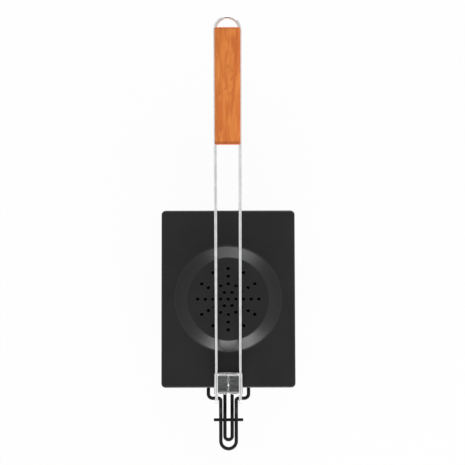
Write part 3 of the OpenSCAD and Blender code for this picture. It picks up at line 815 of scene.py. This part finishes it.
@dataclass(frozen=True)
class Hinges:
    """Two leaves on the pan's far wall, with their pins and rivets."""

    layout: Layout
    pin_d: float = 2.2
    pin_head_l: float = 0.6
    rivet_d: float = 2.8
    arm_bend_r: float = 1.6

    def build(self, finishes: Finishes) -> list[bpy.types.Object]:
        """Makes both leaves, both pins and the four rivets."""
        pieces = []
        for side, name in ((-1, "left"), (1, "right")):
            pieces.append(self._leaf(side * self.layout.hinge_x, name, finishes))
            pieces.append(self._pin(side * self.layout.hinge_x, name, finishes))
        pieces.append(self._rivets(finishes))
        return pieces

    def _leaf(self, x: float, name: str, finishes: Finishes) -> bpy.types.Object:
        """Rolls a leaf's two knuckles, bends its arms down and spreads them into one plate."""
        lay = self.layout
        bm = bmesh.new()
        start_x = x - lay.hinge_w / 2
        arm_z = lay.hinge_z - lay.knuckle_r
        wall_z = lay.hinge_z - lay.knuckle_r + lay.leaf_t
        down = Vector((0, -math.sin(lay.pan_draft), -math.cos(lay.pan_draft)))
        out = Vector((0, math.cos(lay.pan_draft), -math.sin(lay.pan_draft)))
        root = Vector((0, lay.wall_y(wall_z), wall_z)) + out * lay.leaf_t
        # The arm's lower side meets the plate's outer side here
        corner = root + down * ((root.z - arm_z) / math.cos(lay.pan_draft))
        foot = Vector((0, lay.wall_y(wall_z), wall_z)) + out * lay.leaf_t + down * lay.leaf_l
        plate_top = corner + down * (0.25 * lay.leaf_l)
        points = [Vector((0, lay.hinge_y, arm_z)), corner, foot]
        points = [Vector((start_x, p.y, p.z)) for p in points]
        line = bent_line(bm, points, (self.arm_bend_r,), 4)
        low = max((e for e in line), key=lambda e: e.calc_length() if e.verts[0].co.z < corner.z - 0.5
                  or e.verts[1].co.z < corner.z - 0.5 else 0)
        split = bmesh.ops.bisect_edges(bm, edges=[low], cuts=1)
        for vert in verts_of(split["geom_split"]):
            if abs(vert.co.z - foot.z) > 0.01 and len(vert.link_edges) == 2:
                vert.co.y, vert.co.z = plate_top.y, plate_top.z
        first = min(bm.verts, key=lambda v: -v.co.y)
        # Roll the knuckle on from the arm's outer end, round the pin and nearly shut
        bmesh.ops.spin(bm, geom=[first], cent=Vector((start_x, lay.hinge_y, lay.hinge_z)), axis=X_AXIS,
                       dvec=Vector(), angle=math.radians(318), steps=26, use_merge=False, use_duplicate=False)
        bmesh.ops.remove_doubles(bm, verts=bm.verts, dist=0.002)
        line = list(bm.edges)
        gap_w = lay.hinge_w - 2 * lay.finger_w
        near = pull(bm, line, X_AXIS * lay.finger_w)
        far = pull(bm, near, X_AXIS * gap_w)
        pull(bm, far, X_AXIS * lay.finger_w)
        slot = [face for face in bm.faces if abs(face.calc_center_median().x - x) < gap_w / 4
                and face.calc_center_median().z > plate_top.z]
        bmesh.ops.delete(bm, geom=slot, context="FACES")
        clean(bm)
        plate = min(bm.faces, key=lambda face: face.calc_center_median().z)
        if plate.normal.dot(out) < 0:
            bmesh.ops.reverse_faces(bm, faces=bm.faces)
        piece = finished(bm, f"hinge_leaf_{name}_sheet", Body.PAN, finishes.coat,
                         [f"hinge_leaf_{name}"])
        add_thickness(piece, lay.leaf_t)
        ease_edges(piece, 0.15)
        return piece

    def _pin(self, x: float, name: str, finishes: Finishes) -> bpy.types.Object:
        """Spins a pin with a peened head at each end."""
        lay = self.layout
        bm = bmesh.new()
        r, head_r = self.pin_d / 2, self.pin_d / 2 + lay.leaf_t
        end = lay.hinge_w / 2
        profile = [(-end - self.pin_head_l, 0), (-end - self.pin_head_l, 0.6 * head_r),
                   (-end - 0.4 * self.pin_head_l, head_r), (-end, head_r), (-end, r)]
        profile += [(-along, out) for along, out in reversed(profile)]
        verts = [bm.verts.new((x + along, lay.hinge_y, lay.hinge_z + out)) for along, out in profile]
        edges = [bm.edges.new(pair) for pair in zip(verts, verts[1:])]
        bmesh.ops.spin(bm, geom=[*edges, *verts], cent=Vector((x, lay.hinge_y, lay.hinge_z)), axis=X_AXIS,
                       dvec=Vector(), angle=FULL, steps=24, use_merge=True, use_duplicate=False)
        clean(bm)
        piece = finished(bm, f"hinge_pin_{name}_peened", Body.PAN, finishes.zinc,
                         [f"hinge_pin_{name}"])
        ease_edges(piece, 0.08)
        return piece

    def _rivets(self, finishes: Finishes) -> bpy.types.Object:
        """Spins four rivets with a domed head outside and a flat one in the pan."""
        lay = self.layout
        bm = bmesh.new()
        z = lay.hinge_z - lay.knuckle_r + lay.leaf_t - 0.6 * lay.leaf_l * math.cos(lay.pan_draft)
        head_r, shank_r = 0.9 * self.rivet_d, self.rivet_d / 2
        head_h = 0.3 * self.rivet_d
        inner, outer = -lay.sheet_t, lay.leaf_t
        profile = [(inner - head_h / 2, 0), (inner - head_h / 2, 0.75 * head_r), (inner - head_h / 4, 0.95 * head_r),
                   (inner, head_r), (inner, shank_r), (outer, shank_r), (outer, head_r),
                   (outer + 0.35 * head_h, 0.93 * head_r), (outer + 0.72 * head_h, 0.7 * head_r),
                   (outer + 0.93 * head_h, 0.38 * head_r), (outer + head_h, 0)]
        for x in (-lay.hinge_x, lay.hinge_x):
            for side in (-1, 1):
                at = Vector((x + side * lay.hinge_w / 4, lay.wall_y(z), z))
                place = Matrix.Translation(at) @ Matrix.Rotation(-QUARTER - lay.pan_draft, 4, "X")
                verts = [bm.verts.new(place @ Vector((out, 0, along))) for along, out in profile]
                edges = [bm.edges.new(pair) for pair in zip(verts, verts[1:])]
                bmesh.ops.spin(bm, geom=[*edges, *verts], cent=at, axis=place.to_3x3() @ Z_AXIS,
                               dvec=Vector(), angle=FULL, steps=24, use_merge=True, use_duplicate=False)
        clean(bm)
        piece = finished(bm, "hinge_rivets_domed", Body.PAN, finishes.zinc, ["hinge_rivets"])
        ease_edges(piece, 0.08)
        return piece


# The latch tongues


@dataclass(frozen=True)
class LatchTongues:
    """The black wire loops of the lid and the pan, and the stop bar under them."""

    layout: Layout
    root_span: float = 46.4
    root_fold_r: float = 3.0
    root_bend_r: float = 5.0
    shoulder_bend_r: float = 2.8
    step_bend_r: float = 6.0
    lid_half: float = 8.95
    lid_reach: float = 58.6
    pan_half: float = 4.2
    pan_reach: float = 48.2
    step_start: float = 10.5
    step_run: float = 7.0
    pan_leg: float = 14.0
    under_skirt_gap: float = 0.4
    stop_gap: float = 0.2
    bar_d: float = 3.5
    bar_l: float = 34.3
    bar_reach: float = 26.0

    @property
    def pan_z(self) -> float:
        """Height of the pan's tongue from the pivot."""
        lay = self.layout
        return -lay.hook_r - lay.handle_wire_d / 2 - self.stop_gap + lay.tongue_wire_d / 2

    def build(self, finishes: Finishes) -> list[bpy.types.Object]:
        """Makes both loops and the bar."""
        return [self._lid_tongue(finishes), self._pan_tongue(finishes), self._stop_bar(finishes)]

    def _lid_tongue(self, finishes: Finishes) -> bpy.types.Object:
        """Sweeps the outer loop from root to root, and welds its roots to the skirt."""
        lay = self.layout
        wire_r = lay.tongue_wire_d / 2
        leg_y = lay.pivot_reach - wire_r
        root_x = self.root_span / 2
        half = [(root_x, leg_y, lay.skirt_low - lay.pivot.z), (root_x, leg_y, 0), (root_x, 0, 0),
                (self.lid_half, 0, 0), (self.lid_half, -self.step_start, 0),
                (self.lid_half, -self.step_start - self.step_run, -lay.hook_r),
                (self.lid_half, -self.lid_reach, -lay.hook_r)]
        bends = (self.root_fold_r, self.root_bend_r, self.shoulder_bend_r, self.step_bend_r,
                 self.step_bend_r, self.lid_half)
        bm = bmesh.new()
        sweep_wire(bm, mirrored_run(half), [*bends, *reversed(bends)], lay.tongue_wire_d)
        for side in (-1, 1):
            for edge in (-1, 1):
                weld_bead(bm, Vector((side * root_x + edge * 1.4, lay.pivot_reach - 0.35,
                                      lay.skirt_low - lay.pivot.z + 2.6)), Vector((1.3, 1.0, 3.6)))
        clean(bm)
        bmesh.ops.translate(bm, verts=bm.verts, vec=lay.pivot)
        return finished(bm, "lid_tongue_wire", Body.LID, finishes.enamel, ["lid_tongue"])

    def _pan_tongue(self, finishes: Finishes) -> bpy.types.Object:
        """Sweeps the inner loop from leg to leg, and welds its legs to the pan's near wall."""
        lay = self.layout
        wire_r = lay.tongue_wire_d / 2
        root_z = lay.skirt_low - self.under_skirt_gap - wire_r - lay.pivot.z
        leg_top = -lay.pivot.y - lay.wall_y(root_z + lay.pivot.z) - wire_r / math.cos(lay.pan_draft)
        lean = Vector((0, math.sin(lay.pan_draft), -math.cos(lay.pan_draft)))
        foot = Vector((self.pan_half, leg_top, root_z)) + lean * self.pan_leg
        half = [tuple(foot), (self.pan_half, leg_top, root_z), (self.pan_half, -self.step_start, root_z),
                (self.pan_half, -self.step_start - self.step_run, self.pan_z),
                (self.pan_half, -self.pan_reach, self.pan_z)]
        bends = (self.root_bend_r, self.step_bend_r, self.step_bend_r, self.pan_half)
        bm = bmesh.new()
        sweep_wire(bm, mirrored_run(half), [*bends, *reversed(bends)], lay.tongue_wire_d)
        toward_wall = Vector((0, math.cos(lay.pan_draft), math.sin(lay.pan_draft)))
        for side in (-1, 1):
            for along in (0.25, 0.75):
                spot = foot - lean * self.pan_leg * along + toward_wall * 1.4
                weld_bead(bm, Vector((side * (self.pan_half + 1.2), spot.y, spot.z)), Vector((1.2, 1.1, 3.0)))
        bar_z = self.pan_z - wire_r
        for side in (-1, 1):
            for edge in (-1, 1):
                weld_bead(bm, Vector((side * self.pan_half, -self.bar_reach + edge * 1.3, bar_z)),
                          Vector((2.2, 1.1, 0.9)))
        clean(bm)
        bmesh.ops.translate(bm, verts=bm.verts, vec=lay.pivot)
        return finished(bm, "pan_tongue_wire", Body.PAN, finishes.enamel, ["pan_tongue"])

    def _stop_bar(self, finishes: Finishes) -> bpy.types.Object:
        """Draws the straight bar that the unfolded handle lies on."""
        lay = self.layout
        z = self.pan_z - lay.tongue_wire_d / 2 - self.bar_d / 2
        ends = [lay.pivot + Vector((side * self.bar_l / 2, -self.bar_reach, z)) for side in (-1, 1)]
        bm = bmesh.new()
        sweep_wire(bm, ends, (), self.bar_d)
        clean(bm)
        return finished(bm, "stop_bar_wire", Body.PAN, finishes.enamel, ["stop_bar"])


# The handle


@dataclass(frozen=True)
class Handle:
    """The chromed wire, bent from one length, and the wooden grip that it holds in side grooves."""

    layout: Layout
    length: float = 431.5
    hook_wrap: float = math.radians(230)
    loop_show: float = 13.0
    grip_l: float = 125.5
    grip_w: float = 28.8
    grip_t: float = 15.0
    grip_edge_r: float = 5.0
    grip_end_r: float = 1.5
    groove_gap: float = 0.05

    @property
    def arch_at(self) -> float:
        """Distance from the pivot to the middle of the hanging loop's arch."""
        return self.length - self.layout.handle_wire_d / 2 - self.layout.handle_half

    @property
    def grip_at(self) -> float:
        """Distance from the pivot to the grip's near end."""
        return self.length - self.loop_show - self.grip_l

    def build(self, finishes: Finishes) -> list[bpy.types.Object]:
        """Makes the wire and the grip."""
        return [self._wire(finishes), self._grip(finishes)]

    def _wire(self, finishes: Finishes) -> bpy.types.Object:
        """Sweeps the wire from hook to hook through the hanging loop."""
        lay = self.layout
        bm = bmesh.new()
        half, up = lay.handle_half, lay.hook_r
        wire_r = lay.handle_wire_d / 2
        first = ring(bm, Vector((-half, 0, up)), Y_AXIS, wire_r, 24)
        tip = pull(bm, first, Y_AXIS * self.arch_at)
        tip = swing(bm, tip, Vector((0, self.arch_at, up)), -Z_AXIS, HALF, 40)
        tip = pull(bm, tip, -Y_AXIS * self.arch_at)
        for side, start in ((-1, first), (1, tip)):
            end = swing(bm, start, Vector((side * half, 0, 0)), X_AXIS, self.hook_wrap, 34)
            round_end(bm, end, 0.22 * lay.handle_wire_d)
        clean(bm)
        bmesh.ops.transform(bm, matrix=lay.on_handle(), verts=bm.verts)
        return finished(bm, "handle_wire_chromed", Body.HANDLE, finishes.chrome, ["handle_wire"])

    def _grip(self, finishes: Finishes) -> bpy.types.Object:
        """Draws the grip's section with its side grooves and extrudes it, rounded at both ends."""
        lay = self.layout
        bm = bmesh.new()
        start = self.grip_at
        middle = Vector((0, start, lay.hook_r))
        half_w, half_t, edge_r = self.grip_w / 2, self.grip_t / 2, self.grip_edge_r
        groove_r = lay.handle_wire_d / 2 + self.groove_gap
        mouth = lay.handle_half - half_w
        mouth_h = math.sqrt(groove_r ** 2 - mouth ** 2)
        top = bm.verts.new(middle + Vector((0, 0, half_t)))
        tip = draw_on(bm, top, Vector((half_w - edge_r, 0, 0)))
        tip = curve_on(bm, tip, middle + Vector((half_w - edge_r, 0, half_t - edge_r)), QUARTER, 7)
        tip = draw_on(bm, tip, Vector((0, 0, mouth_h - half_t + edge_r)))
        curve_on(bm, tip, middle + Vector((lay.handle_half, 0, 0)), -math.atan2(mouth_h, mouth), 6)
        for axis in ("Z", "X"):
            plane = Matrix.Translation(-middle)
            bmesh.ops.mirror(bm, geom=[*bm.verts, *bm.edges], matrix=plane, merge_dist=0.002, axis=axis)
            bmesh.ops.remove_doubles(bm, verts=bm.verts, dist=0.002)
        section = list(bm.edges)
        self._close_end(bm, section, middle, -1)
        tip = pull(bm, section, Y_AXIS * (self.arch_at - start))
        end = start + self.grip_l
        steps = 5
        reach = (end - self.grip_end_r - self.arch_at) / steps
        for step in range(1, steps + 1):
            tip = pull(bm, tip, Y_AXIS * reach)
            shift = self._arch_shift(step * reach) - self._arch_shift((step - 1) * reach)
            for vert in verts_on(tip):
                if abs(vert.co.z - middle.z) < mouth_h - 0.01 and abs(vert.co.x) < half_w - 0.01:
                    vert.co.x += shift * math.copysign(1, vert.co.x)
        self._close_end(bm, tip, Vector((0, self.arch_at + steps * reach, lay.hook_r)), 1)
        clean(bm)
        bmesh.ops.transform(bm, matrix=lay.on_handle(), verts=bm.verts)
        piece = finished(bm, "grip_turned_edges", Body.HANDLE, finishes.wood, ["grip"])
        ease_edges(piece, 0.35, angle=55)
        return piece

    def _arch_shift(self, along: float) -> float:
        """How far the hanging loop's arch has come in at a distance past its middle."""
        return math.sqrt(self.layout.handle_half ** 2 - along ** 2) - self.layout.handle_half

    def _close_end(self, bm: bmesh.types.BMesh, edges: Sequence[bmesh.types.BMEdge], middle: Vector,
                   way: int) -> None:
        """Rounds one end of the grip inwards over its last millimetres and closes it."""
        steps = 4
        half = Vector((self.grip_w / 2, 0, self.grip_t / 2))
        inset, along = 0.0, 0.0
        for step in range(1, steps + 1):
            angle = QUARTER * step / steps
            next_inset = self.grip_end_r * (1 - math.cos(angle))
            next_along = self.grip_end_r * math.sin(angle)
            edges = pull(bm, edges, Y_AXIS * way * (next_along - along))
            ratio = Vector(((half.x - next_inset) / (half.x - inset), 1, (half.z - next_inset) / (half.z - inset)))
            bmesh.ops.scale(bm, verts=verts_on(edges), vec=ratio, space=Matrix.Translation(-middle))
            inset, along = next_inset, next_along
        bmesh.ops.edgeloop_fill(bm, edges=edges)


# The locking sleeve


@dataclass(frozen=True)
class LockingSleeve:
    """The sheet sleeve: rolled round both wires of the handle, pressed in between them, its seam up."""

    layout: Layout
    length: float = 24.2
    sheet_t: float = 0.8
    gap: float = 0.25
    at: float = 7.1
    press_angle: float = math.radians(22)
    press_r: float = 1.0
    face_z: float = 2.498
    face_half: float = 12.285
    lip_l: float = 3.2
    lip_rise: float = 0.8
    rim_l: float = 2.8
    rim_rise: float = 0.5
    seam_w: float = 0.35
    seam_spring: float = 0.03
    seam_open: float = 0.6
    seam_reach: float = 3.0
    notch_w: float = 2.8
    notch_l: float = 5.0
    tack_at: float = 0.46
    tack_d: float = 2.0
    tack_h: float = 0.9
    edge_r: float = 0.16

    def build(self, finishes: Finishes) -> list[bpy.types.Object]:
        """Makes the sleeve and the tack weld on its seam."""
        lay = self.layout
        bm = bmesh.new()
        middle = Vector((0, self.at, lay.hook_r))
        edges = self._section(bm, middle)
        steps = 44
        for _ in range(steps):
            edges = pull(bm, edges, Y_AXIS * (self.length / steps))
        clean(bm)
        top = [face for face in bm.faces if face.calc_center_median().z > middle.z + self.face_z - 0.01]
        if top[0].normal.z < 0:
            bmesh.ops.reverse_faces(bm, faces=bm.faces)
        for vert in bm.verts:
            if vert.co.z > middle.z + self.face_z - 0.01 and abs(vert.co.x) < lay.handle_half:
                self._press(vert, vert.co.y - self.at)
        bmesh.ops.transform(bm, matrix=lay.on_handle(), verts=bm.verts)
        sleeve = finished(bm, "locking_sleeve_sheet", Body.SLEEVE, finishes.sleeve,
                          ["locking_sleeve"])
        add_thickness(sleeve, self.sheet_t)
        ease_edges(sleeve, self.edge_r)
        return [sleeve, self._tack(middle, finishes)]

    def _section(self, bm: bmesh.types.BMesh, middle: Vector) -> list[bmesh.types.BMEdge]:
        """Draws the sheet's outer side, from one edge of the seam round both wires to the other."""
        half, turn = self.layout.handle_half, self.press_angle
        outer = self.layout.handle_wire_d / 2 + self.gap + self.sheet_t
        bend_x = self.face_half - self.press_r * math.tan(turn / 2)
        stops = (self.seam_w / 2, 0.7, 1.3, 3.0, 6.5, 10.0, 10.8, 11.5, bend_x)
        tip = bm.verts.new(middle + Vector((stops[0], 0, self.face_z)))
        for here, there in zip(stops, stops[1:]):
            tip = draw_on(bm, tip, X_AXIS * (there - here))
        tip = curve_on(bm, tip, middle + Vector((bend_x, 0, self.face_z + self.press_r)), -turn, 4)
        wire = middle + X_AXIS * half
        tangent = wire + Vector((-math.sin(turn), 0, math.cos(turn))) * outer
        tip = draw_on(bm, tip, tangent - tip.co)
        tip = curve_on(bm, tip, wire, HALF + turn, 20)
        draw_on(bm, tip, -X_AXIS * half)
        bmesh.ops.mirror(bm, geom=[*bm.verts, *bm.edges], matrix=Matrix.Translation(-middle),
                         merge_dist=0.002, axis="X")
        bmesh.ops.remove_doubles(bm, verts=bm.verts, dist=0.002)
        return list(bm.edges)

    def _press(self, vert: bmesh.types.BMVert, along: float) -> None:
        """Flares the face up at both ends, springs the seam up and opens its gap, at one vertex."""
        out = abs(vert.co.x)
        face = 1 - ease((out - 10.8) / (self.layout.handle_half - 1.0 - 10.8))
        lip = max(0.0, 1 - (self.length - along) / self.lip_l)
        rim = max(0.0, 1 - along / self.rim_l)
        vert.co.z += face * (self.lip_rise * lip + self.rim_rise * rim)
        vert.co.z += self.seam_spring * (1 - ease((out - self.seam_w / 2) / 1.2))
        if out < self.seam_reach:
            shut, gap = self.seam_w / 2, self._gap(along)
            squeeze = (self.seam_reach - gap) / (self.seam_reach - shut)
            vert.co.x = math.copysign(gap + (out - shut) * squeeze, vert.co.x)

    def _gap(self, along: float) -> float:
        """Half the width of the seam: a notch at the lower end, shut at the tack, then open towards the lip."""
        shut = self.seam_w / 2
        if along < self.notch_l:
            return shut + (self.notch_w / 2 - shut) * (1 - along / self.notch_l)
        tack, lip = self.tack_at * self.length, self.length - self.lip_l
        if along < tack:
            return shut
        share = (along - tack) / (lip - tack)
        return shut + self.seam_open * (share if share < 0.8 else max(0.0, 4 * (1 - share)))

    def _tack(self, middle: Vector, finishes: Finishes) -> bpy.types.Object:
        """Makes the bright spot of weld that holds the seam shut."""
        bm = bmesh.new()
        spot = middle + Vector((0, self.tack_at * self.length, self.face_z + self.seam_spring))
        weld_bead(bm, spot, Vector((self.tack_d, self.tack_d * 1.15, self.tack_h)))
        clean(bm)
        bmesh.ops.transform(bm, matrix=self.layout.on_handle(), verts=bm.verts)
        return finished(bm, "sleeve_tack_weld", Body.SLEEVE, finishes.sleeve)


# The studio


@dataclass(frozen=True)
class Softbox:
    """A rectangular soft light that looks at a point of the object."""

    name: str
    place: tuple[float, float, float]
    size: tuple[float, float]
    strength: float
    target: tuple[float, float, float] = (0.0, 0.0, 0.03)

    def build(self) -> None:
        """Adds the light; its strength is the radiance of its face."""
        light = bpy.data.lights.new(self.name, "AREA")
        light.shape = "RECTANGLE"
        light.size, light.size_y = self.size
        light.energy = self.strength * self.size[0] * self.size[1] * math.pi
        lamp = bpy.data.objects.new(self.name, light)
        lamp.location = self.place
        lamp.rotation_euler = (Vector(self.place) - Vector(self.target)).to_track_quat("Z", "Y").to_euler()
        bpy.context.scene.collection.objects.link(lamp)


@dataclass(frozen=True)
class Studio:
    """A white sweep under a light tent, with a narrow dark slit overhead where the camera looks in."""

    floor_half: float = 6.0
    floor_shows: float = 0.95
    tent: float = 0.36
    crown: float = 0.53
    ends: float = 0.98
    sides: float = 1.16
    horizon: float = 0.72
    slit: float = 0.03
    softboxes: tuple[Softbox, ...] = (
        Softbox("Softbox near", (0.2, -2.0, 0.5), (2.4, 0.9), 11.0),
        Softbox("Softbox far", (0.28, 2.0, 0.5), (1.9, 0.9), 7.2),
    )

    def build(self) -> None:
        """Makes the floor, the tent and the lights."""
        scene = bpy.context.scene
        scene.view_settings.view_transform = "Standard"
        self._floor()
        self._tent(scene)
        for box in self.softboxes:
            box.build()

    def _floor(self) -> None:
        """Lays a white floor that shows white to the camera but keeps the object's shadow."""
        bm = bmesh.new()
        bmesh.ops.create_grid(bm, x_segments=1, y_segments=1, size=self.floor_half)
        mesh = bpy.data.meshes.new("studio_floor")
        bm.to_mesh(mesh)
        bm.free()
        floor = bpy.data.objects.new("studio_floor", mesh)
        floor.location.z = -0.0002
        bpy.context.scene.collection.objects.link(floor)
        material = bpy.data.materials.new("Studio floor")
        material.use_nodes = True
        tree = material.node_tree
        tree.nodes.remove(tree.nodes["Principled BSDF"])
        rays = add_node(tree, "ShaderNodeLightPath")
        seen = add_node(tree, "ShaderNodeMath", {0: rays.outputs["Is Camera Ray"],
                                                 1: rays.outputs["Is Glossy Ray"]}, operation="MAXIMUM")
        seen = add_node(tree, "ShaderNodeMath", {0: seen.outputs[0], 1: rays.outputs["Is Transmission Ray"]},
                        operation="MAXIMUM")
        lit = add_node(tree, "ShaderNodeMath", {0: seen.outputs[0], 1: self.floor_shows}, operation="MULTIPLY")
        matt = add_node(tree, "ShaderNodeBsdfDiffuse", {"Color": linear("#f7f7f7")})
        glow = add_node(tree, "ShaderNodeEmission", {"Color": (1, 1, 1, 1), "Strength": 1.0})
        mixed = add_node(tree, "ShaderNodeMixShader", {0: lit.outputs[0], 1: matt.outputs[0],
                                                       2: glow.outputs[0]})
        tree.links.new(mixed.outputs[0], tree.nodes["Material Output"].inputs["Surface"])
        mesh.materials.append(material)

    def _tent(self, scene: bpy.types.Scene) -> None:
        """Lights the scene from a white tent with its slit, which the camera itself sees as white."""
        world = bpy.data.worlds.new("Light tent")
        scene.world = world
        world.use_nodes = True
        tree = world.node_tree
        tree.nodes.clear()
        coords = add_node(tree, "ShaderNodeTexCoord")
        way = add_node(tree, "ShaderNodeSeparateXYZ", {0: coords.outputs["Generated"]})
        across = add_node(tree, "ShaderNodeMath", {0: way.outputs["X"]}, operation="ABSOLUTE")
        narrow = self._edge(tree, across.outputs[0], 0.15, 0.06)
        far = self._edge(tree, way.outputs["Y"], -0.2, -0.34)
        near = self._edge(tree, way.outputs["Y"], -0.95, -0.68)
        above = self._edge(tree, way.outputs["Z"], 0.2, 0.5)
        slit = self._times(tree, self._times(tree, narrow, far), self._times(tree, near, above))
        flank = self._between(tree, self._edge(tree, across.outputs[0], 0.2, 0.6), self.ends, self.sides)
        wall = self._between(tree, self._edge(tree, way.outputs["Z"], 0.25, 0.5), self.horizon, flank)
        white = self._between(tree, self._edge(tree, way.outputs["Z"], 0.85, 0.98), wall, self.crown)
        mirrored = self._between(tree, slit, white, self.slit)
        rays = add_node(tree, "ShaderNodeLightPath")
        bright = self._between(tree, rays.outputs["Is Glossy Ray"], self.tent, mirrored)
        shown = self._between(tree, rays.outputs["Is Camera Ray"], bright, 1.0)
        glow = add_node(tree, "ShaderNodeBackground", {"Color": (1, 1, 1, 1), "Strength": shown})
        add_node(tree, "ShaderNodeOutputWorld", {"Surface": glow.outputs[0]})

    def _edge(self, tree: bpy.types.NodeTree, value: bpy.types.NodeSocket, zero: float,
              one: float) -> bpy.types.NodeSocket:
        """A soft step that is 0 at one value and 1 at another."""
        step = add_node(tree, "ShaderNodeMapRange", {"Value": value, "From Min": zero, "From Max": one},
                        interpolation_type="SMOOTHSTEP")
        return step.outputs["Result"]

    def _between(self, tree: bpy.types.NodeTree, factor: bpy.types.NodeSocket, low: Any,
                 high: Any) -> bpy.types.NodeSocket:
        """A value between two others, each a number or an output, by a factor."""
        return add_node(tree, "ShaderNodeMix", {0: factor, 2: low, 3: high}, data_type="FLOAT").outputs[0]

    def _times(self, tree: bpy.types.NodeTree, first: bpy.types.NodeSocket,
               second: bpy.types.NodeSocket) -> bpy.types.NodeSocket:
        """The product of two values."""
        return add_node(tree, "ShaderNodeMath", {0: first, 1: second}, operation="MULTIPLY").outputs[0]


@dataclass(frozen=True)
class PhotoCamera:
    """The photograph's view, straight down and a little off the square."""

    place: tuple[float, float, float] = (0.0050, 0.0303, 1.0393)
    turn_deg: tuple[float, float, float] = (2.662, 0.0, -0.137)
    lens: float = 66.70

    def build(self) -> None:
        """Adds the camera and makes it the scene's own."""
        camera = bpy.data.objects.new("Photo camera", bpy.data.cameras.new("Photo camera"))
        camera.data.lens = self.lens
        camera.data.sensor_width = 36
        camera.data.clip_start, camera.data.clip_end = 0.01, 50
        camera.location = self.place
        camera.rotation_euler = tuple(math.radians(angle) for angle in self.turn_deg)
        bpy.context.scene.collection.objects.link(camera)
        bpy.context.scene.camera = camera


def main() -> None:
    """Builds the popper piece by piece, then the studio and the camera."""
    logging.basicConfig(level=logging.INFO, format="%(message)s")
    layout = Layout()
    handle = Handle(layout)
    finishes = make_finishes(layout, handle)
    for assembly in (Pan(layout), Lid(layout), Hinges(layout), LatchTongues(layout), handle,
                     LockingSleeve(layout)):
        made = assembly.build(finishes)
        LOG.info("%s: %s", type(assembly).__name__, ", ".join(piece.name for piece in made))
    Studio().build()
    PhotoCamera().build()


if __name__ == "__main__":
    main()
